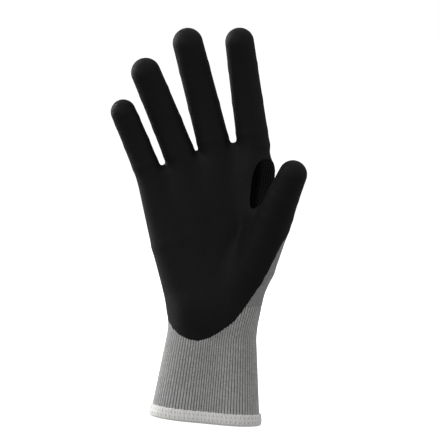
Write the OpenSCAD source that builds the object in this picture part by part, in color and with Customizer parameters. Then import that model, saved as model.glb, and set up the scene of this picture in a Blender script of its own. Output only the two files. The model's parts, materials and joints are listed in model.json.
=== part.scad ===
// A knitted work glove with a dipped palm, for the right hand, in the shape it has on a hand.
// The origin is the middle of the cuff's opening, in the plane of its hem. +Z runs along the
// cuff to the fingertips, the palm faces -Y and the thumb is on the +X side.

/* [Cuff] */
// Width of the rib cuff at its hem, across the hand
hem_w = 70.8; // [64:0.2:76]
// Depth of the rib cuff at its hem, from palm to back
hem_d = 50; // [44:0.5:56]
// Height of the overlocked band round the hem
hem_h = 7; // [5:0.5:10]
// How far the overlock thread stands proud of the rib, inside and out
hem_proud = 0.8; // [0.4:0.1:1.2]
// Thickness of the rib knit
rib_wall = 1.5; // [1:0.1:2]
// Elastic yarns laid round the inside of the cuff
elastic_rounds = 8; // [3:1:10]
// Thickness of an elastic yarn
elastic_d = 0.7; // [0.5:0.1:1]

/* [Fabric] */
// Thickness of the liner's plain knit
liner_wall = 1.0; // [0.6:0.1:1.4]
// Thickness of the foam coating over the liner
coat_wall = 0.6; // [0.4:0.1:0.8]
// Thickness of the extra layer in the thumb crotch
patch_wall = 0.5; // [0.3:0.1:0.8]

/* [Wrist] */
// Height of the wrist's bend above the hem
wrist_z = 62; // [60:0.5:64]
// How far the wrist bends towards the palm, in degrees
wrist_fold = 50; // [20:1:55]
// How far the wrist bends back, in degrees
wrist_back = 40; // [20:1:45]

/* [Fingers: index, middle, ring, little] */
// Middle of each finger's root, across the hand
finger_x = [13.4, -10.7, -31.5, -51.8]; // [-60:0.1:20]
// Middle of each finger's root, palm to back
finger_y = [-1, 0.5, 0, -1.5]; // [-3:0.1:3]
// Height of each finger's root above the hem
finger_z = [183.3, 176.1, 166.9, 156.5]; // [150:0.1:190]
// Lean of each finger away from the thumb, in degrees
finger_lean = [13.5, 19.8, 27.2, 27.3]; // [10:0.1:30]
// Turn of each finger about its own length, in degrees
finger_turn = [2, 0, -4, -6]; // [-8:1:8]
// Length of each stall from its root to its tip
finger_len = [73.7, 80.1, 70.2, 50.2]; // [45:0.1:85]
// Width over the coating at each root
finger_w0 = [21.0, 21.2, 20.6, 17.6]; // [17:0.1:22]
// Width over the coating at each tip
finger_w1 = [18.6, 19.5, 19.0, 16.3]; // [16:0.1:20]
// Middle knuckle, as a share of the stall's length
finger_mid = [0.345, 0.34, 0.34, 0.39]; // [0.3:0.005:0.42]
// End knuckle, as a share of the stall's length
finger_end = [0.655, 0.655, 0.655, 0.7]; // [0.6:0.005:0.72]
// Lean of every finger towards the palm at its root, in degrees
finger_reach = 4; // [0:0.5:6]
// Curl at the middle and at the end knuckle at rest, in degrees
finger_curl = [7, 5]; // [0:0.5:9]
// How far a finger bends at its root, towards the palm and back, in degrees
root_bend = [65, 10]; // [5:1:66]
// How far a finger bends at its middle and at its end knuckle, in degrees
knuckle_bend = [70, 42]; // [20:1:72]

/* [Thumb] */
// Middle of the thumb's root
thumb_root = [28.8, -26, 128]; // [-30:0.1:130]
// Lean of the thumb away from the fingers, in degrees
thumb_lean = 19; // [15:0.5:22]
// Lean of the thumb towards the palm's side, in degrees
thumb_reach = 27.6; // [24:0.1:30]
// Turn of the thumb's pad towards the fingers, in degrees
thumb_turn = 78; // [70:1:84]
// Length of the thumb's stall from its root to its tip
thumb_len = 50; // [48:0.5:52]
// Width over the coating at the thumb's root and at its tip
thumb_w = [25, 19.4]; // [19:0.1:26]
// Height of the thumb's knuckle above its root
thumb_knuckle = 27; // [26:0.5:29]
// Curl at the thumb's knuckle at rest, in degrees
thumb_curl = 6; // [0:0.5:8]
// How far the thumb bends at its root, towards the palm and back, in degrees
thumb_bend = [30, 15]; // [5:1:32]
// How far the thumb's tip bends, in degrees
thumb_tip_bend = 55; // [20:1:60]

/* [Hidden] */
PALE = [0.80, 0.80, 0.79];
GREY = [0.46, 0.46, 0.46];
LIGHT_GREY = [0.52, 0.52, 0.52];
BLACK = [0.07, 0.07, 0.07];
DEEP_BLACK = [0.03, 0.03, 0.03];

FINGERS = ["index", "middle", "ring", "little"];
PARTS = ["base", "mid", "tip"];
LAYERS = ["stall", "knuckle", "coating"];
THUMB = 4;
THUMB_PARTS = ["base", "tip"];

// clearance kept on each side of a bend, and between two layers of fabric
gap = 0.15;
layer_gap = 0.04;
// a bend opens this much further than it moves, in degrees
bend_spare = 1.5;
// height of the fingers' and of the thumb's first bend above their roots
root_up = 5;
thumb_up = 12;
// how far a collar runs down into the palm and what share of its width is left down there
collar_down = 12.4;
collar_foot = 0.6;
// height of the rib's lower edge above the hem's
rib_foot = 1;
// how far the coat reaches round to the back
coat_back = 3;
// length of the coated cap on the back of a fingertip
cap_len = 13;

// The five digits, the fingers first and the thumb last
ROOT = concat([for (f = [0:3]) [finger_x[f], finger_y[f], finger_z[f]]], [thumb_root]);
LEAN = concat(-finger_lean, [thumb_lean]);
REACH = [finger_reach, finger_reach, finger_reach, finger_reach, thumb_reach];
TURN = concat(finger_turn, [-thumb_turn]);
LENGTH = concat(finger_len, [thumb_len]);
R_ROOT = concat(finger_w0 / 2, [thumb_w[0] / 2]);
R_TIP = concat(finger_w1 / 2, [thumb_w[1] / 2]);
BENDS = concat(
    [for (f = [0:3]) [root_up, finger_mid[f] * finger_len[f], finger_end[f] * finger_len[f]]],
    [[thumb_up, thumb_knuckle]]);
// a digit's last part has no bend at its far end, so the angles past it are 0
function last_part(d) = len(BENDS[d]) - 1;
function curl(d, k) = k == 0 || k > last_part(d) ? 0 : d == THUMB ? thumb_curl : finger_curl[k - 1];
function fold(d, k) =
    k > last_part(d) ? 0
    : d == THUMB ? (k == 0 ? thumb_bend[0] : thumb_tip_bend)
    : k == 0 ? root_bend[0] : knuckle_bend[k - 1];
function back(d, k) = k > 0 ? 0 : d == THUMB ? thumb_bend[1] : root_bend[1];
// half of the wedge left open at a bend, on its palm side and on its back
function palm_wedge(d, k) = (curl(d, k) + fold(d, k)) / 2 + bend_spare;
function back_wedge(d, k) = back(d, k) > 0 ? back(d, k) / 2 + bend_spare : 0;
// height of the tip's round end, and the liner's outer radius at a height above the root
function dome(d) = LENGTH[d] - R_TIP[d];
function radius(d, h) = R_ROOT[d] + (R_TIP[d] - R_ROOT[d]) * h / dome(d) - coat_wall;

// Cross-sections from the hem to the finger roots: the left edge's X and Z, the right edge's
// X and Z, half the depth, and the X, Y and radius of the thumb's ball or of its web there
SECTIONS = [
    [-hem_w / 2, 0, hem_w / 2, 0, hem_d / 2, 0, 0, 1],
    [-35.2, 8, 34.8, 8, 24.8, 0, 0, 1],
    [-33.8, 20, 33.2, 20, 24, 0, 0, 1],
    [-32.0, 34, 31.0, 34, 23, 0, 0, 1],
    [-30.8, 48, 29.2, 48, 21.8, 0, 0, 1],
    [-29.7, wrist_z, 28.4, wrist_z, 21, 10, -4, 15],
    [-33.4, 78, 27.6, 78, 20, 13.5, -6, 15],
    [-37, 86, 27.4, 87, 19.3, 16.5, -9, 14.6],
    [-40.3, 94, 27.4, 96, 18.6, 19.6, -13, 14.2],
    [-43.6, 103, 27.5, 106, 17.8, 22.8, -16.8, 13.6],
    [-46.8, 113, 27.6, 116, 17, 25.6, -21, 12.8],
    [-49.8, 124, 27.7, 128, 16, 28.2, -25, 12],
    [-52.8, 136, 27.8, 142, 15, 24, -15, 11],
    [-55.2, 142, 27.6, 153, 14.2, 20, -8, 10],
    [-57.4, 147.5, 27.2, 164, 13.2, 17.5, -2, 9],
    [-59.6, 152.3, 23.8, 186, 11.6, 14, 0, 9],
];
LAST = len(SECTIONS) - 1;
CUFF_TOP = 6;
PALM_FOOT = 4;
// points round a cross-section, and how square it is
AROUND = 48;
SQUARE = 2.32;

function mix(a, b, t) = a + (b - a) * t;
function reach_of(s, angle, half, grow) =
    let (
        plain = pow(
            pow(abs(cos(angle)) / (half + grow), SQUARE)
            + pow(abs(sin(angle)) / (s[4] + grow), SQUARE), -1 / SQUARE),
        // the far side of the thumb's ball, and how squarely the ray meets it
        away = s[5] - (s[0] + s[2]) / 2,
        middle = away * cos(angle) + s[6] * sin(angle),
        aside = away * sin(angle) - s[6] * cos(angle),
        ball = s[7] + grow,
        share = sqrt(max(0, 1 - pow(aside / ball, 2))))
    plain + max(0, middle + ball * share - plain) * pow(share, 0.7);
function section_point(s, angle, grow) =
    let (
        left = [s[0], 0, s[1]],
        right = [s[2], 0, s[3]],
        half = norm(right - left) / 2,
        along = (right - left) / (2 * half),
        out = reach_of(s, angle, half, grow))
    (left + right) / 2 + along * out * cos(angle) + [0, out * sin(angle), 0];
function ring(s, grow) =
    [for (i = [0:AROUND - 1]) section_point(s, 360 * i / AROUND, grow)];
// a section a short way past one end, so that an inner solid runs through that end's opening
function past(s, dz) = [s[0], s[1] + dz, s[2], s[3] + dz, s[4], s[5], s[6], s[7]];

// The cross-section at a height inside the cuff
function section_at(z) =
    let (j = max([0, for (i = [1:CUFF_TOP - 1]) SECTIONS[i][1] <= z ? i : 0]))
    mix(SECTIONS[j], SECTIONS[j + 1],
        (z - SECTIONS[j][1]) / (SECTIONS[j + 1][1] - SECTIONS[j][1]));
function oval(z, grow) = ring(section_at(z), grow);

// A closed solid through rings of the same number of points
module skin(rings) {
    n = len(rings[0]);
    m = len(rings);
    points = [for (r = rings) each r];
    sides = [
        for (j = [0:m - 2]) for (i = [0:n - 1])
            let (a = j * n + i, b = j * n + (i + 1) % n)
            each [[a, a + n, b], [b, a + n, b + n]]
    ];
    foot = [for (i = [0:n - 1]) i];
    head = [for (i = [0:n - 1]) m * n - 1 - i];
    polyhedron(points, concat([foot, head], sides), convexity = 6);
}

// A closed band through a loop of rings, which is its cross-section carried round
module band(rings) {
    n = len(rings[0]);
    m = len(rings);
    polyhedron(
        [for (r = rings) each r],
        [
            for (j = [0:m - 1]) for (i = [0:n - 1])
                let (a = j * n, b = (j + 1) % m * n, next = (i + 1) % n)
                each [[a + i, b + i, a + next], [a + next, b + i, b + next]]
        ], convexity = 6);
}

module hand_solid(first, last, grow, foot_past = 0, head_past = 0)
    skin([
        for (i = [first:last])
            ring(i == first ? past(SECTIONS[i], -foot_past)
                : i == last ? past(SECTIONS[i], head_past) : SECTIONS[i], grow)
    ]);

// Stands its children on a digit: at its root for k = -1, or at its bend k
module on_digit(d, k)
    translate(ROOT[d]) rotate([0, LEAN[d], 0]) rotate([REACH[d], 0, 0]) rotate([0, 0, TURN[d]])
        translate([0, 0, k < 0 ? 0 : BENDS[d][0]])
            along_bends(d, 1, k) children();

module along_bends(d, j, k) {
    if (j > k) children();
    else translate([0, 0, BENDS[d][j] - BENDS[d][j - 1]]) rotate([curl(d, j), 0, 0])
        along_bends(d, j + 1, k) children();
}

// All that lies past a bend whose wedge opens by these angles on its palm side and its back
module beyond(palm_side, back_side, half_w, shift = gap)
    rotate([90, 0, 90])
        linear_extrude(2 * half_w, center = true)
            polygon([
                [-40, -40 * tan(palm_side) - shift],
                [0, -shift],
                [40, -40 * tan(back_side) - shift],
                [40, 40],
                [-40, 40],
            ]);

// The wedge of fabric that closes a bend on its palm side, opening by this angle each way
module fold_wedge(half_angle, half_w)
    rotate([90, 0, 90])
        linear_extrude(2 * half_w, center = true)
            polygon([
                [-40, -40 * tan(half_angle) - gap / 3],
                [-0.5, -0.5 * tan(half_angle) - gap / 3],
                [-0.5, 0.5 * tan(half_angle) + gap / 3],
                [-40, 40 * tan(half_angle) + gap / 3],
            ]);

// A stretch of a digit as a solid, from height h0 to h1 above its root, standing at bend k
module stretch(d, k, h0, h1, grow) {
    rise = BENDS[d][k];
    translate([0, 0, h0 - rise])
        cylinder(h = h1 - h0, r1 = radius(d, h0) + grow, r2 = radius(d, h1) + grow, $fn = 64);
}

module tip_solid(d, k, grow) {
    stretch(d, k, BENDS[d][k] - 20, dome(d), grow);
    translate([0, 0, dome(d) - BENDS[d][k]]) sphere(R_TIP[d] - coat_wall + grow, $fn = 64);
}

function top_of(d, k) = k == last_part(d) ? dome(d) : BENDS[d][k + 1];

module part_solid(d, k, grow) {
    if (k == last_part(d)) tip_solid(d, k, grow);
    else stretch(d, k, BENDS[d][k] - 20, top_of(d, k) + 20, grow);
}

// Takes away what lies past both ends of one part of a digit
module trim(d, k, palm_low, back_low, palm_high, back_high) {
    difference() {
        children();
        mirror([0, 0, 1]) beyond(palm_low, back_low, 20);
        if (k < last_part(d))
            translate([0, 0, BENDS[d][k + 1] - BENDS[d][k]]) beyond(palm_high, back_high, 20);
    }
}

// The knitted tube of one part of a digit
module stall(d, k)
    color(LIGHT_GREY)
        on_digit(d, k)
            trim(d, k, palm_wedge(d, k), back_wedge(d, k), palm_wedge(d, k + 1), 0)
                difference() {
                    part_solid(d, k, 0);
                    part_solid(d, k, -liner_wall);
                }

// The knit that folds in the palm side of a bend, half way between the two parts in its lean
module knuckle(d, k)
    color(GREY)
        on_digit(d, k)
            rotate([-curl(d, k) / 2, 0, 0])
                intersection() {
                    knuckle_tube(d, k);
                    fold_wedge(fold(d, k) / 2 + bend_spare, 20);
                }

module knuckle_tube(d, k) {
    // the first bend's tube stops at the root, where the palm's collar begins to narrow
    foot = k == 0 ? 0 : BENDS[d][k] - 18;
    top = min(BENDS[d][k] + 18, dome(d));
    difference() {
        stretch(d, k, foot, top, -layer_gap);
        stretch(d, k, foot - 1, top + 1, layer_gap - liner_wall);
    }
}

// The foam coat over one part of a digit: the side that the palm is on, and all round at the tip
module coating(d, k)
    color(BLACK)
        on_digit(d, k)
            trim(d, k, curl(d, k) / 2, 0, curl(d, k + 1) / 2, 0)
                difference() {
                    part_solid(d, k, coat_wall);
                    part_solid(d, k, layer_gap);
                    rotate([0, 0, -TURN[d]])
                        translate([-20, coat_back, -20])
                            cube([40, 20, top_of(d, k) - BENDS[d][k] + 20 + bare_above(d, k)]);
                }

// height above the stall's end up to which the back stays bare
function bare_above(d, k) = k == last_part(d) ? R_TIP[d] - cap_len : 40;

// A collar of the palm that a digit stands in
module collar(d, grow, collar_past)
    on_digit(d, -1)
        hull() {
            translate([0, 0, -collar_down])
                cylinder(h = 1, r = collar_foot * radius(d, 0) + grow, $fn = 32);
            cylinder(h = 1, r = radius(d, 0) + grow, $fn = 32);
            translate([0, 0, BENDS[d][0] + collar_past - 1])
                cylinder(h = 1, r = radius(d, BENDS[d][0]) + grow, $fn = 32);
        }

// half the width that is cleared past a collar: close between the fingers, wide at the thumb
function collar_room(d) = radius(d, 0) + (d == THUMB ? 4 : gap);

// the thumb's collar opens further than its bend needs, because the web slopes up to it
function collar_wedge(d) = palm_wedge(d, 0) + (d == THUMB ? 7 : 0);

// The palm with the ball of the thumb, the web and the collars
module palm_solid(grow, foot_past = 0, collar_past = 0) {
    hand_solid(PALM_FOOT, LAST, grow, foot_past);
    for (d = [0:THUMB]) collar(d, grow, collar_past);
}

module wrist_cut(shift = gap)
    translate([0, 0, wrist_z])
        mirror([0, 0, 1])
            beyond(wrist_fold / 2 + bend_spare, wrist_back / 2 + bend_spare, 60, shift);

// Outline of the dipped area across the palm, X and Z, with its low point near the heel
DIP_LINE = [
    [-70, 76], [-36, 70], [-30, 63], [-22, 55.5], [-13, 52.5], [-5, 54], [2, 58.5], [13, 66],
    [25, 83], [35, 103], [42, 126], [60, 150], [60, 220], [-70, 220],
];

module palm_liner()
    color(LIGHT_GREY)
        difference() {
            palm_solid(0);
            palm_solid(-liner_wall, 2, 2);
            wrist_cut();
            for (d = [0:THUMB])
                on_digit(d, 0) beyond(collar_wedge(d), back_wedge(d, 0), collar_room(d));
        }

module palm_coating()
    color(BLACK)
        difference() {
            intersection() {
                palm_solid(coat_wall);
                translate([0, coat_back, 0])
                    rotate([90, 0, 0]) linear_extrude(70) polygon(DIP_LINE);
            }
            palm_solid(layer_gap);
            for (d = [0:THUMB]) on_digit(d, 0) beyond(0, 0, radius(d, 0) + 1);
        }

// Reach of the extra layer in the crotch of the thumb
module crotch_oval() translate([19, -9, 155]) rotate([-24, 12, 0]) sphere(16, $fn = 48);

module thumb_crotch_patch()
    color(DEEP_BLACK)
        intersection() {
            difference() {
                palm_solid(coat_wall + patch_wall);
                palm_solid(coat_wall + layer_gap);
            }
            crotch_oval();
        }

module rib_solid(grow, foot, head_past = 0)
    skin(concat(
        [oval(foot, grow)],
        [for (i = [1:CUFF_TOP]) ring(past(SECTIONS[i], i == CUFF_TOP ? head_past : 0), grow)]));

module cuff_rib()
    color(GREY)
        difference() {
            rib_solid(0, rib_foot);
            rib_solid(-rib_wall, rib_foot - 2, 2);
            translate([0, 0, wrist_z])
                beyond(wrist_fold / 2 + bend_spare, wrist_back / 2 + bend_spare, 60);
        }

// The rib knit that folds at the wrist, in front and behind
module wrist_knit()
    color(GREY)
        difference() {
            hand_solid(PALM_FOOT, PALM_FOOT + 3, -layer_gap);
            hand_solid(PALM_FOOT, PALM_FOOT + 3, layer_gap - liner_wall, 2, 2);
            wrist_keep_clear(1);
            wrist_keep_clear(-1);
            translate([-60, -1, 0]) cube([120, 2, 120]);
        }

// What lies on one side of the wrist's open wedges: above them for 1, below them for -1
module wrist_keep_clear(side)
    translate([0, 0, wrist_z])
        rotate([90, 0, 90])
            linear_extrude(120, center = true)
                polygon([
                    [-40, side * (40 * tan(wrist_fold / 2 + bend_spare) + gap / 3)],
                    [0, side * gap / 3],
                    [40, side * (40 * tan(wrist_back / 2 + bend_spare) + gap / 3)],
                    [40, side * 80],
                    [-40, side * 80],
                ]);

// The overlock thread round the rib's lower edge: outside, under and inside it
module hem_overlock() {
    inner = -rib_wall;
    color(PALE)
        band([
            oval(0, hem_proud),
            oval(hem_h - 1, hem_proud),
            oval(hem_h, hem_proud / 2),
            oval(hem_h, layer_gap),
            oval(rib_foot - layer_gap, layer_gap),
            oval(rib_foot - layer_gap, inner - layer_gap),
            oval(hem_h, inner - layer_gap),
            oval(hem_h, inner - hem_proud / 2),
            oval(hem_h - 1, inner - hem_proud),
            oval(0, inner - hem_proud),
        ]);
}

// Rounds of elastic yarn, laid against the inside of the rib
module cuff_elastic()
    color(PALE)
        for (i = [1:elastic_rounds])
            elastic_round(hem_h + i * (wrist_z - 22 - hem_h) / elastic_rounds);

module elastic_round(z) {
    out = -rib_wall - 2 * layer_gap;
    band([
        oval(z, out), oval(z + elastic_d, out),
        oval(z + elastic_d, out - elastic_d), oval(z, out - elastic_d),
    ]);
}

cuff_rib();
cuff_elastic();
hem_overlock();
wrist_knit();
palm_liner();
palm_coating();
thumb_crotch_patch();
for (d = [0:THUMB]) for (k = [0:last_part(d)]) {
    name = str(d == THUMB ? "thumb" : FINGERS[d], "_", d == THUMB ? THUMB_PARTS[k] : PARTS[k]);
    stall(d, k);
    knuckle(d, k);
    coating(d, k);
}
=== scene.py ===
"""The looks of a knitted work glove with a dipped palm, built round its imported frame.

The knit and the foam coat are cut from one smooth surface, so that pieces meet without a seam.
Lengths are in millimetres until a mesh is made.
"""

import json
import math

import bpy
import numpy as np
from mathutils import Matrix, Vector


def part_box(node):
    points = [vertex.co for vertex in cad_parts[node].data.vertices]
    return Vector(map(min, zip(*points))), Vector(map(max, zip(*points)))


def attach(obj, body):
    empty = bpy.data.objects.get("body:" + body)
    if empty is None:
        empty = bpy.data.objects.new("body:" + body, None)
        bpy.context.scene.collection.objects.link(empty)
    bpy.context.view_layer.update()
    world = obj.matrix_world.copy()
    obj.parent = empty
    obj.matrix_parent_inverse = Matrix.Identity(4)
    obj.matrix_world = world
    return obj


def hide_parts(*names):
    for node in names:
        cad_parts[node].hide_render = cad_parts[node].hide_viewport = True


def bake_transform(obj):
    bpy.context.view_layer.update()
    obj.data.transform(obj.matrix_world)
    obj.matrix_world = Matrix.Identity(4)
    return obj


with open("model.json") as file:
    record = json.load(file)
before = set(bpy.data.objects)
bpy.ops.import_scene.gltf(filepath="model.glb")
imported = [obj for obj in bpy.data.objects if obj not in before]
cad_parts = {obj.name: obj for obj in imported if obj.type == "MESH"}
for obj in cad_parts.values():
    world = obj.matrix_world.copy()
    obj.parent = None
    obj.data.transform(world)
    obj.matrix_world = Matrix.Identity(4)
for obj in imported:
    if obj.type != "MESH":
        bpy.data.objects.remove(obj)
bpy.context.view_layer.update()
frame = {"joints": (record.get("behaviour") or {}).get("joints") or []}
JOINTS = {j["name"]: j for j in frame["joints"]}

# ---------------------------------------------------------------- sizes
KNIT = 1.0  # thickness of the liner's knit
COAT = 0.6  # thickness of the foam coat
PATCH = 0.5  # thickness of the second layer in the thumb's crotch
RIB_WALL = 1.5  # thickness of the cuff's rib knit, ribs included
RIBS = 94  # ribs round the cuff, and wales round the palm
RIB_DEPTH = 0.75  # depth of the groove between two ribs
WALE = 1.55  # width of a column of loops on a digit
COURSE = 1.2  # height of a row of loops
CUFF_FOOT = 1.2  # the rib knit's lower edge, inside the hem
CUFF_TOP = 79.5  # the rib knit runs this far up, under the palm's lower edge
PALM_LOW = 77.5  # the plain knit's lower edge
HEEL_TOP = 80.0  # the coat below this height is a piece of its own
HEM = 7.6  # height of the overlocked band
DEEP = 4.0  # past this distance from its edge the coat is all alike
THIN_EDGE = 0.05  # thickness of the coat at its edge
EDGE_RISE = 2.6  # the coat grows to its full thickness over this distance
COAT_BACK = 3.4  # how far the coat reaches past a digit's middle towards the back
THUMB_BACK = 11.5  # on the thumb, a normal turned fully back counts as this far back
CAP = 13.0  # length of the coated cap on a tip
BARE_TOP = 141.0  # up to here the side of the hand that faces the thumb is bare
PATCH_BACK = 3.5  # how far the crotch's second layer reaches towards the back
CELL = 1.0  # size of the surface's cells
TIGHT = 0.8  # how softly two stretches of one line meet

# the coat's edge over the palm, as X and Z seen from the palm's side
DIP_LINE = np.array(
    [(-70, 76), (-36, 69.5), (-30.5, 63), (-23, 54.6), (-13, 51.8), (-5, 53.4), (2, 57.8),
     (12.5, 66.5), (23.2, 84.5), (32.2, 103.5), (39.5, 126), (60, 150), (60, 300),
     (-110, 300), (-110, 76)], float)
# the edge of the second layer in the thumb's crotch
PATCH_LINE = np.array(
    [(17.2, 139), (15.6, 141.5), (15, 146), (15.1, 160), (16.4, 166.3), (19.3, 170.8),
     (23, 172.4), (27, 171), (31, 166), (36, 158), (35, 152), (28, 149), (21, 141.5)], float)


def rounded(outline):
    """An outline with its corners cut twice."""
    for _ in range(2):
        after = np.roll(outline, -1, 0)
        outline = np.stack([outline * 0.75 + after * 0.25, outline * 0.25 + after * 0.75],
                           1).reshape(-1, 2)
    return outline


def unit(v):
    return v / np.linalg.norm(v)


def smooth(t):
    """An even rise from 0 at t = 0 to 1 at t = 1."""
    t = np.clip(t, 0, 1)
    return t * t * (3 - 2 * t)


class Digit:
    """A finger or the thumb, from its joints and from its tip's box in the frame.

    Its root lies root_up below its first bend, and its line begins down below the root. Its
    first piece begins first_cut above the root. For each bend, zones gives a length before and
    after it, from which the cuts between its pieces are placed. moved shifts the line's points off
    the joints.
    """

    def __init__(self, name, joints, root_up, down, r_root, r_tip, first_cut, zones,
                 moved=((0, 0, 0),) * 4):
        self.name = name
        self.parts = ["base", "mid", "tip"] if len(joints) == 3 else ["base", "tip"]
        self.bends = [np.array(JOINTS[f"{name}_{j}"]["pos_m"]) * 1000 for j in joints]
        lo, hi = (np.array(c) * 1000 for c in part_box(f"{name}_tip_stall"))
        side = hi[0] - r_tip if name == "thumb" else lo[0] + r_tip
        tip = np.array([side, lo[1] + r_tip, hi[2] - r_tip])
        self.points = [at + np.array(by) for at, by in zip(self.bends + [tip], moved)]
        self.dirs = [unit(b - a) for a, b in zip(self.points, self.points[1:])]
        self.root = self.points[0] - root_up * self.dirs[0]
        self.r_root, self.r_tip = r_root, r_tip
        self.first_cut = first_cut
        self.zones = zones
        back = np.array([0.0, 1.0, 0.0])
        self.backs = [unit(back - (back @ d) * d) for d in self.dirs]
        self.wales = round(2 * math.pi * (r_root + r_tip) / 2 / WALE)
        self.chain = [self.root - down * self.dirs[0]] + self.points
        steps = [np.linalg.norm(b - a) for a, b in zip(self.chain, self.chain[1:])]
        share = np.concatenate([[0], np.cumsum(steps)]) / sum(steps)
        self.radii = list(r_root + (r_tip - r_root) * share)

    def nearest(self, p):
        """For each point: which stretch it stands on, its height above that stretch's bend, and
        how far it lies towards the digit's back and across it."""
        k = np.zeros(len(p), int)
        for i in range(1, len(self.dirs)):
            mid_way = unit(self.dirs[i - 1] + self.dirs[i])
            k[(k == i - 1) & ((p - self.points[i]) @ mid_way > 0)] = i
        d, b = np.array(self.dirs)[k], np.array(self.backs)[k]
        rel = p - np.array(self.points)[k]
        across = np.cross(d, b)
        return k, (rel * d).sum(1), (rel * b).sum(1), (rel * across).sum(1)

    def height(self, p):
        """Height above the root along the digit's own line."""
        k, up, _, _ = self.nearest(p)
        steps = [np.linalg.norm(b - a) for a, b in zip(self.points, self.points[1:])]
        start = np.linalg.norm(self.bends[0] - self.root)
        return start + np.concatenate([[0], np.cumsum(steps)])[k] + up


BENDS = ["root_bend", "middle_bend", "end_bend"]
DIGITS = [
    Digit("index", BENDS, 5, 4, 9.9, 8.7, 1.5, [(3.3, 10.9), (8.9, 9.1), (5.2, 5.2)]),
    Digit("middle", BENDS, 5, 4, 10.0, 9.15, 1.5, [(3.3, 12.4), (9.2, 9.2), (5.2, 5.2)]),
    Digit("ring", BENDS, 5, 4, 9.7, 8.9, 1.5, [(3.3, 9.9), (8.7, 9.0), (5.2, 5.2)]),
    Digit("little", BENDS, 5, 4, 8.2, 7.55, 1.5, [(3.3, 6.9), (7.4, 7.4), (5.0, 5.0)]),
    Digit("thumb", ["root_bend", "end_bend"], 12, 0, 11.6, 8.5, 6.5, [(5.2, 5.2), (7.2, 7.2)],
          [(0, 0, 0), (-1, 0, 0), (0.5, 0, 2.5)]),
]
THUMB = DIGITS[-1]


# ---------------------------------------------------------------- the surface
def cone(p, a, b, ra, rb):
    """Distance to a cone with round ends."""
    a, b = np.array(a, float), np.array(b, float)
    ba = b - a
    l2 = ba @ ba
    rr = ra - rb
    a2 = l2 - rr * rr
    pa = p - a
    y = pa @ ba
    z = y - l2
    x = pa * l2 - y[:, None] * ba
    x2 = (x * x).sum(1)
    y2, z2 = y * y * l2, z * z * l2
    k = np.sign(rr) * rr * rr * x2
    d = (np.sqrt(x2 * a2 / l2) + y * rr) / l2 - ra
    d = np.where(np.sign(z) * a2 * z2 > k, np.sqrt(x2 + z2) / l2 - rb, d)
    return np.where(np.sign(y) * a2 * y2 < k, np.sqrt(x2 + y2) / l2 - ra, d)


def soft_min(a, b, k):
    """The smaller of two distances, rounded off where they differ by less than k."""
    h = np.maximum(k - np.abs(a - b), 0) / k
    return np.minimum(a, b) - h * h * k / 4


def line_of(p, points, radii, k=TIGHT):
    """Distance to a chain of cones through some points, with a radius at each."""
    out = None
    for a, b, ra, rb in zip(points, points[1:], radii, radii[1:]):
        c = cone(p, a, b, ra, rb)
        out = c if out is None else soft_min(out, c, k)
    return out


def chain_of(p, digit):
    return line_of(p, digit.chain, digit.radii)


def cuff_of(p):
    """The cuff, as one chain of cones up each of its sides."""
    little_side = line_of(p, [(-11, 0, 0), (-8.7, 0, 60), (-9.5, -1, 74)], [24.4, 20.2, 18.6], 2)
    thumb_side = line_of(p, [(11, 0, 0), (7.2, 0, 60), (7.4, 0, 74)], [24.4, 20.1, 18.4], 2)
    return soft_min(little_side, thumb_side, 8)


# for each finger, where its line crosses the palm and the wrist, with its radius there
PALM_LINES = {
    "little": [(-31.4, -1.5, 112), 13.5, (-12.6, -1, 76), 18.3],
    "ring": [(-17, 0.5, 116), 14.6, (-4.5, 0, 72), 18.8],
    "middle": [(-3, 1, 120), 14.8, (1.5, 0, 72), 19.2],
    "index": [(11.5, 0.5, 124), 14.4, (6.8, 0, 72), 18.6],
}


def palm_line(p, digit, whole):
    """A finger's line from the wrist up to its root, or up to its tip if it is whole."""
    across, r_across, wrist, r_wrist = PALM_LINES[digit.name]
    many = len(digit.chain) if whole else 1
    return line_of(p, [wrist, across] + digit.chain[:many],
                   [r_wrist, r_across] + digit.radii[:many])


def palm_of(p, whole):
    """The palm and the cuff, with the fingers or without them."""
    above = np.stack([(p - d.root) @ d.dirs[0] for d in DIGITS[:-1]])
    out = palm_line(p, DIGITS[3], whole)
    for i in (2, 1, 0):
        # the fillet between two fingers' lines is wide on the palm and tight past their roots
        fillet = TIGHT + 12 * smooth((6 - np.maximum(above[i], above[i + 1])) / 16)
        out = soft_min(out, palm_line(p, DIGITS[i], whole), fillet)
        # a small web between the two roots
        low, high = (d.root - 6.3 * d.dirs[0] for d in (DIGITS[i + 1], DIGITS[i]))
        out = soft_min(out, cone(p, low, high, 4.6, 5.2), 5)
    return soft_min(out, cuff_of(p), 6)


def core_of(p):
    """The palm and the cuff, without the web and the digits."""
    return palm_of(p, False)


def thumb_of(p):
    """The thumb and its ball."""
    return line_of(p, [(12.8, -6, 80), (22, -15.5, 103)] + THUMB.chain,
                   [14.4, 13.5] + THUMB.radii)


def web_of(p):
    """The web from the thumb's root to the index finger's."""
    return line_of(p, [(23, -18, 128), (19.5, -4.5, 150), (18.9, -1.5, 163)], [8, 8.5, 9])


def glove(p):
    """Distance from the outside of the liner."""
    out = soft_min(palm_of(p, True), web_of(p), 8)
    below = smooth((2 - (p - THUMB.root) @ THUMB.dirs[0]) / 14)
    return soft_min(out, thumb_of(p), 3 + 6 * below)


def slope(field, p):
    """The field's gradient."""
    e, out = 0.05, np.zeros_like(p)
    for s in np.array([(1, -1, -1), (-1, -1, 1), (-1, 1, -1), (1, 1, 1)], float):
        out += field(p + e * s)[:, None] * s
    return out / (4 * e)


def settle(field, p, rounds=2):
    """Points moved onto the field's zero surface, and the surface's normals there."""
    for _ in range(rounds):
        g = slope(field, p)
        g2 = np.maximum((g * g).sum(1), 0.2)
        p = p - np.clip(field(p) / g2, -0.8, 0.8)[:, None] * g
    g = slope(field, p)
    return p, g / np.linalg.norm(g, axis=1)[:, None]


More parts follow.
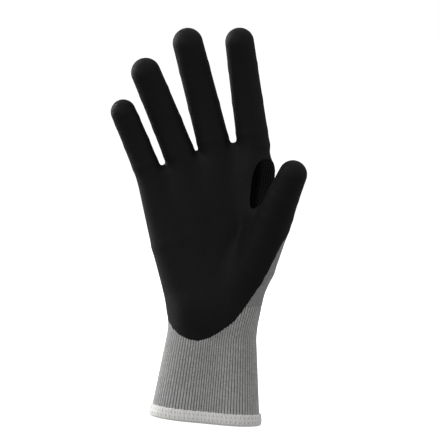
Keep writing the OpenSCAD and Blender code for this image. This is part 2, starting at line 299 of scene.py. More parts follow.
def grid_values(field, lo, counts):
    """The field on a grid, worked out only in the blocks of 8 that the surface may cross."""
    blocks = -(-counts // 8)
    at = np.stack(np.meshgrid(*[np.arange(b) for b in blocks], indexing="ij"), -1).reshape(-1, 3)
    middle = field(lo + (at * 8 + 3.5) * CELL)
    near = np.abs(middle) < 8 * CELL * 0.9
    inner = np.stack(np.meshgrid(*[np.arange(8)] * 3, indexing="ij"), -1).reshape(-1, 3)
    values = np.repeat(middle[:, None], 512, 1)
    spots = (at[near][:, None] * 8 + inner[None]).reshape(-1, 3)
    values[near] = np.concatenate(
        [field(lo + part * CELL) for part in np.array_split(spots, 12)]).reshape(-1, 512)
    return (values.reshape(*blocks, 8, 8, 8).transpose(0, 3, 1, 4, 2, 5)
            .reshape(*(blocks * 8)))


def skin_of(field, lo, hi):
    """The zero surface as triangles: one point in each cell it crosses, joined across edges."""
    lo, hi = np.array(lo, float), np.array(hi, float)
    f = grid_values(field, lo, np.ceil((hi - lo) / CELL).astype(int))
    inside = f < 0
    n = np.array(f.shape)
    corners = [(i, j, k) for i in (0, 1) for j in (0, 1) for k in (0, 1)]

    def at_corner(a, c):
        return a[c[0]:n[0] - 1 + c[0], c[1]:n[1] - 1 + c[1], c[2]:n[2] - 1 + c[2]]

    count = sum(at_corner(inside, c).astype(np.int8) for c in corners)
    cells = np.argwhere((count > 0) & (count < 8))
    ids = np.full(n, -1)
    ids[tuple(cells.T)] = np.arange(len(cells))
    total, hits = np.zeros((len(cells), 3)), np.zeros(len(cells))
    for axis in range(3):
        step = np.eye(3, dtype=int)[axis]
        for c in corners:
            if c[axis]:
                continue
            a = cells + np.array(c)
            fa, fb = f[tuple(a.T)], f[tuple((a + step).T)]
            cross = (fa < 0) != (fb < 0)
            t = np.where(cross, fa / np.where(cross, fa - fb, 1), 0)
            total += (a + t[:, None] * step) * cross[:, None]
            hits += cross
    points = lo + total / hits[:, None] * CELL
    quads = []
    for axis in range(3):
        u, v = (axis + 1) % 3, (axis + 2) % 3
        step = np.eye(3, dtype=int)
        low, high = [slice(1, m - 1) for m in n], [slice(1, m - 1) for m in n]
        high[axis] = slice(2, n[axis])
        a, b = inside[tuple(low)], inside[tuple(high)]
        for leaving in (True, False):
            e = np.argwhere((a & ~b) if leaving else (~a & b)) + 1
            loop = [e - step[u] - step[v], e - step[v], e, e - step[u]]
            q = np.stack([ids[tuple(x.T)] for x in loop], 1)
            quads.append(q if leaving else q[:, ::-1])
    quads = np.concatenate(quads)
    quads = quads[(quads >= 0).all(1)]
    for _ in range(2):
        total, hits = np.zeros_like(points), np.zeros(len(points))
        for i in range(4):
            np.add.at(total, quads[:, i], points[quads[:, i - 1]] + points[quads[:, (i + 1) % 4]])
            np.add.at(hits, quads[:, i], 2)
        points = settle(field, points + 0.6 * (total / hits[:, None] - points), 1)[0]
    points, normals = settle(field, points)
    diagonal = (np.linalg.norm(points[quads[:, 0]] - points[quads[:, 2]], axis=1)
                < np.linalg.norm(points[quads[:, 1]] - points[quads[:, 3]], axis=1))
    tris = np.where(diagonal[:, None], quads[:, [0, 1, 2, 0, 2, 3]], quads[:, [1, 2, 3, 1, 3, 0]])
    return points, normals, tris.reshape(-1, 3)


# ---------------------------------------------------------------- cutting the surface
class Surface:
    """Triangles with a point and a normal at each corner."""

    def __init__(self, points, normals, tris):
        self.points, self.normals, self.tris = points, normals, tris

    def cut(self, values, near=0.12):
        """Splits the triangles that a field crosses, so that its zero line runs along edges."""
        s = np.where(np.abs(values) < near, 0, values)
        side = np.sign(s)[self.tris]
        mixed = (side.min(1) < 0) & (side.max(1) > 0)
        keep, work = self.tris[~mixed], self.tris[mixed]
        edges = np.concatenate([work[:, [0, 1]], work[:, [1, 2]], work[:, [2, 0]]])
        crossing = s[edges[:, 0]] * s[edges[:, 1]] < 0
        ends = np.unique(np.sort(edges[crossing], 1), axis=0)
        t = (s[ends[:, 0]] / (s[ends[:, 0]] - s[ends[:, 1]]))[:, None]
        mids = self.points[ends[:, 0]] * (1 - t) + self.points[ends[:, 1]] * t
        facing = self.normals[ends[:, 0]] * (1 - t) + self.normals[ends[:, 1]] * t
        key = {(int(a), int(b)): i + len(self.points) for i, (a, b) in enumerate(ends)}
        made = []
        for tri in work:
            made.extend(self._split(tri, s, key))
        self.points = np.concatenate([self.points, mids])
        self.normals = np.concatenate(
            [self.normals, facing / np.linalg.norm(facing, axis=1)[:, None]])
        self.tris = np.concatenate([keep, np.array(made, int).reshape(-1, 3)])

    @staticmethod
    def _split(tri, s, key):
        """The two or three triangles that one becomes. key finds the new point on an edge."""
        def mid(a, b):
            return key[(int(min(a, b)), int(max(a, b)))]

        v = list(tri)
        zeros = [i for i in range(3) if s[v[i]] == 0]
        if zeros:
            a, b, c = (v[(zeros[0] + i) % 3] for i in range(3))
            m = mid(b, c)
            return [(a, b, m), (a, m, c)]
        odd = [i for i in range(3) if s[v[i]] * s[v[(i + 1) % 3]] < 0
               and s[v[i]] * s[v[(i + 2) % 3]] < 0][0]
        a, b, c = (v[(odd + i) % 3] for i in range(3))
        ab, ac = mid(a, b), mid(a, c)
        return [(a, ab, ac), (ab, b, c), (ab, c, ac)]

    def side(self, values):
        """For each triangle: whether it lies where the field is positive."""
        return values[self.tris].sum(1) > 0


def owners(p):
    """Which digit each point stands on, or -1 on the palm."""
    to_digit = np.stack([chain_of(p, d) for d in DIGITS], 1)
    best = to_digit.argmin(1)
    up = np.stack([(p - d.root) @ d.dirs[0] for d in DIGITS], 1)[np.arange(len(p)), best]
    close = to_digit[np.arange(len(p)), best] < 2.5
    return np.where(close & (up > -2), best, -1)


def ripple(p, size, seed=0.0):
    """A smooth uneven field of about plus and minus 1, with bumps of about that size."""
    q = p * (2 * math.pi / size)
    x, y, z = q[:, 0], q[:, 1], q[:, 2]
    return (np.sin(x + 0.7 * y + seed) * np.cos(0.8 * z - 0.5 * x + 1.3 * seed)
            + np.sin(0.63 * z + 1.1 * y - 2.1 * seed) * np.cos(0.9 * x + 0.4 * z + seed)) / 1.6


def inside_outline(outline, x, z):
    """Distance to an outline in X and Z, positive inside it."""
    p = np.stack([x, z], 1)
    best, within = np.full(len(p), 1e9), np.zeros(len(p), bool)
    for a, b in zip(outline, np.roll(outline, -1, 0)):
        ab = b - a
        t = np.clip(((p - a) @ ab) / (ab @ ab), 0, 1)
        best = np.minimum(best, np.linalg.norm(p - a - t[:, None] * ab, axis=1))
        crosses = (a[1] > p[:, 1]) != (b[1] > p[:, 1])
        level = a[0] + (p[:, 1] - a[1]) / (ab[1] if ab[1] else 1) * ab[0]
        within ^= crosses & (p[:, 0] < level)
    return np.where(within, best, -best)


def dipped(p, facing, owner):
    """How far inside the coat's edge each point lies. Facing is the surface's normal there."""
    uneven = 0.3 * ripple(p, 9, 1.0) + 0.2 * ripple(p, 3.4, 2.0)
    nearer_thumb = np.clip(0.5 + (core_of(p) - thumb_of(p)) / 6, 0, 1)
    turned_back = facing[:, 1] * THUMB_BACK
    to_back = (1 - nearer_thumb) * p[:, 1] + nearer_thumb * turned_back
    out = soft_min(inside_outline(rounded(DIP_LINE), p[:, 0], p[:, 2]), COAT_BACK - to_back, 9)
    # under the web, the side of the hand that faces the thumb stays bare: beside is negative
    # where a point is low, faces sideways and doesn't lie on the palm's front
    above_web = np.maximum((p[:, 2] - BARE_TOP) * 0.6, -8)
    turned_away = (0.62 - facing[:, 0]) * 18
    in_front = 1.6 * np.maximum(-9 - p[:, 1], 0)
    beside = above_web + turned_away + in_front
    out = np.minimum(soft_min(out, np.where(p[:, 0] > 5, beside, 30), 3), DEEP)
    for i, digit in enumerate(DIGITS):
        on = owner == i
        if not on.any():
            continue
        q = p[on]
        k, _, back, _ = digit.nearest(q)
        if digit is THUMB:
            whole = (COAT_BACK - turned_back[on]
                     - 6 * (1 - smooth((digit.height(q) + 9) / 14)))
        else:
            whole = COAT_BACK - digit.root[1] * (1 - smooth(digit.height(q) / 15)) - back
        last = len(digit.dirs) - 1
        cap = (q - digit.points[-1]) @ digit.dirs[-1] - (digit.r_tip - CAP)
        whole = np.minimum(np.maximum(whole, np.where(k == last, cap, -9)), DEEP)
        share = smooth((digit.height(q) + 2) / (12 if digit is THUMB else 4))
        out[on] = out[on] * (1 - share) + whole * share
    return out + uneven


def in_patch(p):
    """How far inside the second layer's edge each point lies."""
    within = inside_outline(rounded(PATCH_LINE), p[:, 0], p[:, 2])
    return soft_min(within, PATCH_BACK - p[:, 1], 3) + 0.15 * ripple(p, 4, 3.0)


# ---------------------------------------------------------------- knit coordinates
def palm_middle(z):
    """X and Y of the palm's middle at each height."""
    return np.stack([-0.6 - 0.17 * np.maximum(z - 66, 0), -0.4 + 0 * z], 1)


def palm_table():
    """How much of the way round the palm each angle lies, at heights 10 mm apart."""
    angles = np.linspace(-math.pi, math.pi, 181)
    rows = []
    for z in np.arange(0, 200, 10.0):
        away = np.full(len(angles), 75.0)
        middle = palm_middle(np.full(len(angles), z))
        for _ in range(24):
            p = np.column_stack([middle[:, 0] + away * np.cos(angles),
                                 middle[:, 1] + away * np.sin(angles), np.full(len(angles), z)])
            away = np.maximum(away - core_of(p) * 0.9, 4)
        steps = np.linalg.norm(np.diff(p, axis=0), axis=1)
        rows.append(np.concatenate([[0], np.cumsum(steps)]) / steps.sum())
    return angles, np.array(rows)


ANGLES, ROUND_SHARE = palm_table()


def palm_stitches(p):
    """Wale and course of each point on the palm."""
    middle = palm_middle(p[:, 2])
    angle = np.arctan2(p[:, 1] - middle[:, 1], p[:, 0] - middle[:, 0])
    level = np.clip(p[:, 2] / 10, 0, len(ROUND_SHARE) - 1.001)
    j = level.astype(int)
    low = np.array([np.interp(angle, ANGLES, row) for row in ROUND_SHARE])
    cols = np.arange(len(p))
    share = low[j, cols] * (1 - (level - j)) + low[j + 1, cols] * (level - j)
    return np.column_stack([share * RIBS, p[:, 2] / COURSE])


def digit_stitches(p, digit):
    """Wale and course of each point on a digit."""
    _, _, back, across = digit.nearest(p)
    angle = np.arctan2(back, across)
    return np.column_stack(
        [(angle / (2 * math.pi) + 0.5) * digit.wales, digit.height(p) / COURSE])


# ---------------------------------------------------------------- meshes
def mesh_object(name, points, faces, normals, stitches, period, extra=None):
    """A smooth object from points in millimetres, with its wales and courses as a UV map and
    its rest place and other fields as attributes."""
    mesh = bpy.data.meshes.new(name)
    size = faces.shape[1]
    mesh.vertices.add(len(points))
    mesh.vertices.foreach_set("co", (points * 0.001).astype(np.float32).ravel())
    mesh.loops.add(faces.size)
    mesh.loops.foreach_set("vertex_index", faces.astype(np.int32).ravel())
    mesh.polygons.add(len(faces))
    mesh.polygons.foreach_set("loop_start", np.arange(0, faces.size, size, dtype=np.int32))
    mesh.polygons.foreach_set("use_smooth", np.ones(len(faces), bool))
    mesh.update(calc_edges=True)
    uv = stitches[faces]
    first = uv[:, :1, 0]
    uv[:, :, 0] -= np.round((uv[:, :, 0] - first) / period) * period
    layer = mesh.uv_layers.new(name="stitches")
    layer.data.foreach_set("uv", uv.astype(np.float32).ravel())
    rest = mesh.attributes.new("rest_at", "FLOAT_VECTOR", "POINT")
    rest.data.foreach_set("vector", points.astype(np.float32).ravel())
    for key, values in (extra or {}).items():
        attribute = mesh.attributes.new(key, "FLOAT", "POINT")
        attribute.data.foreach_set("value", np.asarray(values, np.float32))
    if normals is not None:
        mesh.normals_split_custom_set_from_vertices([Vector(n) for n in normals])
    obj = bpy.data.objects.new(name, mesh)
    bpy.context.scene.collection.objects.link(obj)
    return obj


def shell(name, surface, tris, outer, inner, stitch, period, extra=None):
    """A closed sheet of fabric over some of a surface's triangles. outer and inner are how far
    its two faces stand off the surface, one number or one for each of the surface's points."""
    used = np.unique(tris)
    renumber = np.zeros(len(surface.points), int)
    renumber[used] = np.arange(len(used))
    t, n = renumber[tris], len(used)
    p, facing = surface.points[used], surface.normals[used]
    high = np.broadcast_to(outer, len(surface.points))[used][:, None]
    low = np.broadcast_to(inner, len(surface.points))[used][:, None]
    points = np.concatenate([p + facing * high, p + facing * low])
    edges = np.concatenate([t[:, [0, 1]], t[:, [1, 2]], t[:, [2, 0]]])
    code = edges[:, 0] * n + edges[:, 1]
    rim = edges[~np.isin(code, edges[:, 1] * n + edges[:, 0])]
    a, b = rim[:, 0], rim[:, 1]
    sides = np.concatenate([np.column_stack([b, a, a + n]), np.column_stack([b, a + n, b + n])])
    faces = np.concatenate([t, t[:, ::-1] + n, sides])
    uv = stitch(p)
    extra = {k: np.tile(v[used], 2) for k, v in (extra or {}).items()}
    return mesh_object(name, points, faces, np.concatenate([facing, -facing]),
                       np.concatenate([uv, uv]), period, extra)


def ring_faces(rows, around, closed_loop=False):
    """Quads between rows of points that run round a tube, the same way round as its outside."""
    r = np.arange(rows if closed_loop else rows - 1)[:, None]
    i = np.arange(around)[None]
    a, b = r * around, (r + 1) % rows * around
    nxt = (i + 1) % around
    return np.stack([a + i, a + nxt, b + nxt, b + i], -1).reshape(-1, 4)


def cuff_radius(angles, heights):
    """Distance of the cuff's outside from the Z axis, at each height and angle."""
    z, a = np.meshgrid(heights, angles, indexing="ij")
    r = np.full(z.size, 60.0)
    ca, sa = np.cos(a).ravel(), np.sin(a).ravel()
    field = glove if np.max(heights) > 40 else cuff_of
    for _ in range(14):
        r -= field(np.column_stack([r * ca, r * sa, z.ravel()])) * 0.97
    return r.reshape(z.shape)


def tube_object(name, radius, angles, heights, wales, extra=None):
    """A closed tube: rows of radii at heights, going up the outside and down the inside."""
    r, a = radius, angles[None]
    points = np.stack([r * np.cos(a), r * np.sin(a), np.broadcast_to(heights[:, None], r.shape)],
                      -1).reshape(-1, 3)
    faces = ring_faces(len(heights), len(angles), True)
    uv = np.stack([np.broadcast_to(angles / (2 * math.pi) * wales, r.shape),
                   np.broadcast_to(heights[:, None] / COURSE, r.shape)], -1).reshape(-1, 2)
    return mesh_object(name, points, faces, None, uv, wales, extra)


def rib_wave(angles):
    """1 on top of each rib and 0 at the bottom of the groove between two."""
    return np.abs(np.cos(math.pi * angles / (2 * math.pi) * RIBS)) ** 0.55


def make_cuff():
    """The rib knit, ribbed outside and inside, whose ribs fade out up the wrist."""
    samples = 6
    angles = np.linspace(0, 2 * math.pi, RIBS * samples, endpoint=False)
    up = np.linspace(CUFF_FOOT, CUFF_TOP, 80)
    out_r = cuff_radius(angles, up)
    wave = rib_wave(angles)[None]
    depth = (RIB_DEPTH * (1 - 0.6 * smooth((up - 44) / 30)))[:, None]
    # how far the ribs' upper end dips under the palm's knit
    under = (0.15 + 0.15 * smooth((up - 76.5) / 3))[:, None] * smooth((up - 73) / 4)[:, None]
    outside = out_r - depth * (1 - wave) - under
    keep = np.arange(len(up) - 1, -1, -3)
    inside = out_r[keep] - RIB_WALL + depth[keep] * 0.6 * (1 - np.roll(wave, samples // 2, 1))
    radius = np.concatenate([outside, inside])
    heights = np.concatenate([up, up[keep]])
    # how far down in a groove each point lies, which the rib knit's material turns into painted
    # shade
    groove = np.tile(1 - wave, (len(heights), 1)).ravel()
    return tube_object("cuff_rib_knit", radius, angles, heights, RIBS, {"groove": groove})


def make_hem():
    """The overlocked band: thread laid in close slanting loops over the rib's lower edge."""
    loops, samples = 96, 10
    angles = np.linspace(0, 2 * math.pi, loops * samples, endpoint=False)
    turn = np.linspace(0, 1, 40, endpoint=False)
    # the band's profile: up the outside, over its shoulder, down the inside and back under
    corners = np.array([(0.6, 0.25), (1.15, 1.4), (1.25, 3.2), (1.15, 5.6), (0.8, 7.0),
                        (0.1, HEM), (-1.2, HEM), (-1.9, 7.1), (-2.3, 5.6), (-2.35, 3.0),
                        (-2.2, 1.0), (-1.6, 0.15), (-0.6, 0.0)])
    where = np.linspace(0, 1, len(corners), endpoint=False)
    off, up = (np.interp(turn, np.append(where, 1), np.append(corners[:, i], corners[0, i]))
               for i in (0, 1))
    r0 = cuff_radius(angles, np.array([0.0, 3.5, 7.0]))
    base = np.array([np.interp(up, [0, 3.5, 7], r0[:, i]) for i in range(len(angles))]).T
    slant = angles[None] / (2 * math.pi) * loops + up[:, None] * 0.14
    thread = np.abs(np.sin(math.pi * slant)) ** 0.6
    # the needle thread's two rows of stitches pull small dents in the band
    rows = (np.exp(-((up - 2.6) / 0.45) ** 2) + np.exp(-((up - 5.3) / 0.4) ** 2))[:, None]
    dents = rows * np.maximum(np.cos(angles[None] * loops / 1.5), 0) ** 3
    chain = np.exp(-((up - 6.7) / 0.6) ** 2)[:, None] * np.abs(
        np.sin(math.pi * (angles[None] / (2 * math.pi) * loops * 0.5)))
    proud = np.where(off > -0.8, 1, -1)[:, None]
    wander = 0.08 * np.sin(angles * 9 + 1) + 0.05 * np.sin(angles * 23)
    relief = 0.26 * (thread - 0.6) - 0.3 * dents + 0.16 * chain + wander[None]
    radius = base + off[:, None] + proud * relief
    lift = up[:, None] + 0.12 * np.sin(angles * 31)[None] * (up[:, None] > 5.5)
    a = angles[None]
    points = np.stack([radius * np.cos(a), radius * np.sin(a), np.broadcast_to(lift, radius.shape)],
                      -1).reshape(-1, 3)
    uv = np.stack([np.broadcast_to(a / (2 * math.pi) * loops, radius.shape),
                   np.broadcast_to(turn[:, None] * 16, radius.shape)], -1).reshape(-1, 2)
    # painted shade for the overlock thread's colour: darker in the gaps between loops and in the
    # dents
    gap_shade = np.clip(thread * 0.45 + 0.55 - dents, 0, 1).ravel()
    return mesh_object("hem_overlock_thread", points, ring_faces(len(turn), len(angles), True),
                       None, uv, loops, {"thread": gap_shade})


def make_elastic():
    """Eight closed rounds of yarn just inside the cuff."""
    lo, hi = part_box("cuff_elastic")
    rounds, around, sides = 8, 224, 8
    heights = np.linspace(lo.z * 1000 + 0.35, hi.z * 1000 - 0.35, rounds)
    angles = np.linspace(0, 2 * math.pi, around, endpoint=False)
    middle = cuff_radius(angles, heights) - RIB_WALL - 0.45
    turn = np.linspace(0, 2 * math.pi, sides, endpoint=False)
    points, faces, uv = [], [], []
    for j in range(rounds):
        thick = 0.33 + 0.04 * np.sin(angles * 56 + j)
        r = middle[j] + thick * np.cos(turn)[:, None]
        z = heights[j] + thick * np.sin(turn)[:, None] + 0.1 * np.sin(3 * angles + j)
        faces.append(ring_faces(sides, around, True) + sum(len(x) for x in points))
        points.append(np.stack([r * np.cos(angles), r * np.sin(angles), z], -1).reshape(-1, 3))
        uv.append(np.stack([np.broadcast_to(angles / (2 * math.pi) * 56, r.shape),
                            np.broadcast_to(turn[:, None], r.shape)], -1).reshape(-1, 2))
    return mesh_object("cuff_elastic_yarn", np.concatenate(points), np.concatenate(faces)[:, ::-1],
                       None, np.concatenate(uv), 56)


# ---------------------------------------------------------------- materials
class Shader:
    """A material's nodes. Inputs may be numbers or other nodes' outputs."""

    def __init__(self, name):
        self.material = bpy.data.materials.new(name)
        self.material.use_nodes = True
        self.tree = self.material.node_tree
        self.bsdf = self.tree.nodes["Principled BSDF"]

    def link(self, value, socket):
        if isinstance(value, bpy.types.NodeSocket):
            self.tree.links.new(value, socket)
        else:
            socket.default_value = value

    def node(self, kind, inputs=(), output=0, **settings):
        made = self.tree.nodes.new(kind)
        for key, value in settings.items():
            setattr(made, key, value)
        for i, value in enumerate(inputs):
            if value is not None:
                self.link(value, made.inputs[i])
        return made.outputs[output]

    def math(self, operation, *inputs, clamp=False):
        return self.node("ShaderNodeMath", inputs, operation=operation, use_clamp=clamp)

    def scaled(self, value, low, high):
        return self.math("MULTIPLY_ADD", value, high - low, low)

    def field(self, name, output=2):
        return self.node("ShaderNodeAttribute", output=output, attribute_name=name)

    def rest(self):
        return self.field("rest_at", 1)

    def noise(self, scale, detail=2.0, rough=0.5, at=None):
        made = self.tree.nodes.new("ShaderNodeTexNoise")
        self.link(at or self.rest(), made.inputs["Vector"])
        made.inputs["Scale"].default_value = scale
        made.inputs["Detail"].default_value = detail
        made.inputs["Roughness"].default_value = rough
        return made.outputs["Fac"]

    def cells(self, scale, at=None):
        made = self.tree.nodes.new("ShaderNodeTexVoronoi")
        self.link(at or self.rest(), made.inputs["Vector"])
        made.inputs["Scale"].default_value = scale
        return made.outputs["Distance"]

    def stitches(self):
        """Wale and course numbers."""
        uv = self.node("ShaderNodeUVMap", uv_map="stitches")
        xyz = self.tree.nodes.new("ShaderNodeSeparateXYZ")
        self.tree.links.new(uv, xyz.inputs[0])
        return xyz.outputs[0], xyz.outputs[1]

    def knit(self, shift=0.0):
        """(height of the loops' two legs from 0 to 1, a number that is the same over a loop)."""
        u, v = self.stitches()
        u = self.math("ADD", u, shift)
        wander = self.noise(0.35)
        v = self.math("MULTIPLY_ADD", wander, 0.8, v)
        m = self.math("ABSOLUTE", self.math("SUBTRACT", self.math("FRACT", u), 0.5))
        leg = self.math("MULTIPLY", self.math("SUBTRACT", m, 0.24), 4.0)
        across = self.math("SUBTRACT", 1.0, self.math("MULTIPLY", leg, leg), clamp=True)
        slant = self.math("SUBTRACT", v, self.math("MULTIPLY", m, 1.3))
        along = self.math("SINE", self.math("MULTIPLY", self.math("FRACT", slant), math.pi))
        height = self.math("MULTIPLY", across, self.math("MULTIPLY_ADD", along, 0.6, 0.4))
        whole = self.node("ShaderNodeCombineXYZ",
                          [self.math("FLOOR", u), self.math("FLOOR", slant), 0.0])
        return height, self.node("ShaderNodeTexWhiteNoise", [whole])

    def grey(self, value, tint=(1, 1, 1)):
        made = self.tree.nodes.new("ShaderNodeCombineColor")
        for i in range(3):
            self.link(self.math("MULTIPLY", value, tint[i]), made.inputs[i])
        return made.outputs[0]

    def bump(self, height, distance, under=None):
        made = self.tree.nodes.new("ShaderNodeBump")
        made.inputs["Distance"].default_value = distance
        self.link(height, made.inputs["Height"])
        if under is not None:
            self.link(under, made.inputs["Normal"])
        return made.outputs[0]

    def finish(self, colour, roughness, normal, **sockets):
        self.link(colour, self.bsdf.inputs["Base Color"])
        self.link(roughness, self.bsdf.inputs["Roughness"])
        self.link(normal, self.bsdf.inputs["Normal"])
        for key, value in sockets.items():
            label = key.replace("_", " ").title().replace("Ior", "IOR")
            self.bsdf.inputs[label].default_value = value
        return self.material


def knit_material(name, shade, shift, depth, groove=False):
    """Heathered yarn in loops, with painted shade between the loops' legs, and painted shade in the
    grooves between ribs if it is ribbed.
    """
    s = Shader(name)
    height, loop = s.knit(shift)
    fuzz = s.noise(6.0, 4.0, 0.7)
    heather = s.noise(1.6, 3.0, 0.6)
    broad = s.noise(0.035, 2.0)
    # painted shade: the yarn is drawn darker between the loops' legs and lighter on their crowns
    light = s.math("MULTIPLY_ADD", height, 0.45, 0.62)
    light = s.math("MULTIPLY", light, s.scaled(loop, 0.88, 1.12))
    light = s.math("MULTIPLY", light, s.scaled(heather, 0.75, 1.25))
    light = s.math("MULTIPLY", light, s.scaled(broad, 0.9, 1.1))
    if groove:
        # painted shade in the grooves between ribs, and paler colour on the ribs' crowns
        light = s.math("MULTIPLY", light, s.scaled(s.field("groove"), 1.12, 0.16))
    relief = s.math("ADD", height, s.math("MULTIPLY", fuzz, 0.35))
    return s.finish(
        s.grey(s.math("MULTIPLY", light, shade), (1.0, 0.995, 0.985)),
        s.scaled(fuzz, 0.72, 0.98), s.bump(relief, depth),
        specular_ior_level=0.25, sheen_weight=0.18, sheen_roughness=0.5)


def foam_material(name, shade, knit_depth):
    """Matt black foam, through which the knit shows near its edge and over the ribs."""
    s = Shader(name)
    height, _ = s.knit(0.0)
    cells = s.cells(3.2)
    grain = s.noise(2.6, 4.0, 0.7)
    broad = s.noise(0.06, 3.0)
    near_edge = s.math("SUBTRACT", 1.0, s.math("MULTIPLY", s.field("depth_in"), 0.24), clamp=True)
    relief = s.math("MULTIPLY_ADD", cells, 0.55, s.math("MULTIPLY", grain, 0.6))
    pressed = s.math("MULTIPLY_ADD", near_edge, 0.9, knit_depth)
    pressed = s.math("MULTIPLY_ADD", s.field("ribbed"), 1.5, pressed)
    relief = s.math("MULTIPLY_ADD", height, pressed, relief)
    light = s.math("MULTIPLY_ADD", grain, 0.3, 0.85)
    light = s.math("MULTIPLY", light, s.scaled(broad, 0.93, 1.07))
    roughness = s.math("MULTIPLY_ADD", grain, 0.16, s.scaled(broad, 0.52, 0.66))
    return s.finish(
        s.grey(s.math("MULTIPLY", light, shade), (1.0, 1.0, 1.02)), roughness,
        s.bump(relief, 0.00012), specular_ior_level=0.13, sheen_weight=0.012, sheen_roughness=0.4)


def patch_material():
    """Darker nitrile with the knit pressed through it, with painted highlights on its stitch rows
    that fade into painted shade away from the thumb.
    """
    s = Shader("crotch_layer")
    xyz = s.tree.nodes.new("ShaderNodeSeparateXYZ")
    s.link(s.rest(), xyz.inputs[0])
    across, _ = s.stitches()
    grain = s.noise(2.2, 4.0, 0.7)
    course = s.math("MULTIPLY_ADD", grain, 0.5, s.math("DIVIDE", xyz.outputs[2], 1.15))
    course = s.math("FRACT", course)
    wale = s.math("FRACT", s.math("MULTIPLY", across, 1.15))
    bars = s.math("SINE", s.math("MULTIPLY", course, math.pi))
    ends = s.math("SINE", s.math("MULTIPLY", wale, math.pi))
    dash = s.math("MULTIPLY", bars, s.math("POWER", ends, 0.6))
    dash = s.math("POWER", dash, 2.0)
    # painted highlights on the stitch rows, faded out into painted shade in the web away from the
    # thumb
    seen = s.math("MULTIPLY", dash, s.field("painted_light_share"))
    light = s.math("MULTIPLY_ADD", seen, 7.0, 0.25)
    relief = s.math("MULTIPLY_ADD", grain, 0.4, dash)
    return s.finish(
        s.grey(s.math("MULTIPLY", light, 0.0028)), s.scaled(grain, 0.7, 0.95),
        s.bump(relief, 0.00022), specular_ior_level=0.02)


def thread_material(name, shade, turns, shade_gaps=False):
    """Twisted thread, with painted shade between its plies, and, when asked for, painted shade
    between its loops and in the needle thread's dents.
    """
    s = Shader(name)
    u, v = s.stitches()
    twist = s.math("FRACT", s.math("MULTIPLY_ADD", u, turns, s.math("MULTIPLY", v, 1.7)))
    ply = s.math("SINE", s.math("MULTIPLY", twist, math.pi))
    fuzz = s.noise(5.0, 4.0, 0.7)
    stain = s.noise(0.12, 3.0)
    # painted shade: the thread is drawn darker between its plies and lighter on their crowns
    light = s.math("MULTIPLY", s.scaled(ply, 0.82, 1.06), s.scaled(fuzz, 0.85, 1.15))
    light = s.math("MULTIPLY", light, s.scaled(stain, 0.92, 1.06))
    if shade_gaps:
        # painted shade in the gaps between the overlock's loops and in the needle thread's dents
        light = s.math("MULTIPLY", light, s.scaled(s.field("thread"), 0.42, 1.04))
    relief = s.math("MULTIPLY_ADD", fuzz, 0.4, ply)
    return s.finish(
        s.grey(s.math("MULTIPLY", light, shade), (1.0, 0.99, 0.97)), s.scaled(fuzz, 0.6, 0.85),
        s.bump(relief, 0.00012), specular_ior_level=0.3, sheen_weight=0.2, sheen_roughness=0.4)


MATERIALS = {
    "grey_rib_knit": knit_material("rib_knit", 0.46, 0.5, 0.00030, groove=True),
    "liner_knit": knit_material("liner_knit", 0.30, 0.0, 0.00030),
    "foam_nitrile": foam_material("foam_nitrile", 0.0048, 0.28),
    "crotch_nitrile": patch_material(),
    "white_overlock": thread_material("overlock_thread", 0.78, 2.0, shade_gaps=True),
    "elastic_yarn": thread_material("elastic_yarn", 0.55, 3.0),
}


def dress(obj, slot):
    """Gives a piece the material listed under its slot."""
    obj.data.materials.append(MATERIALS[slot])
    return obj


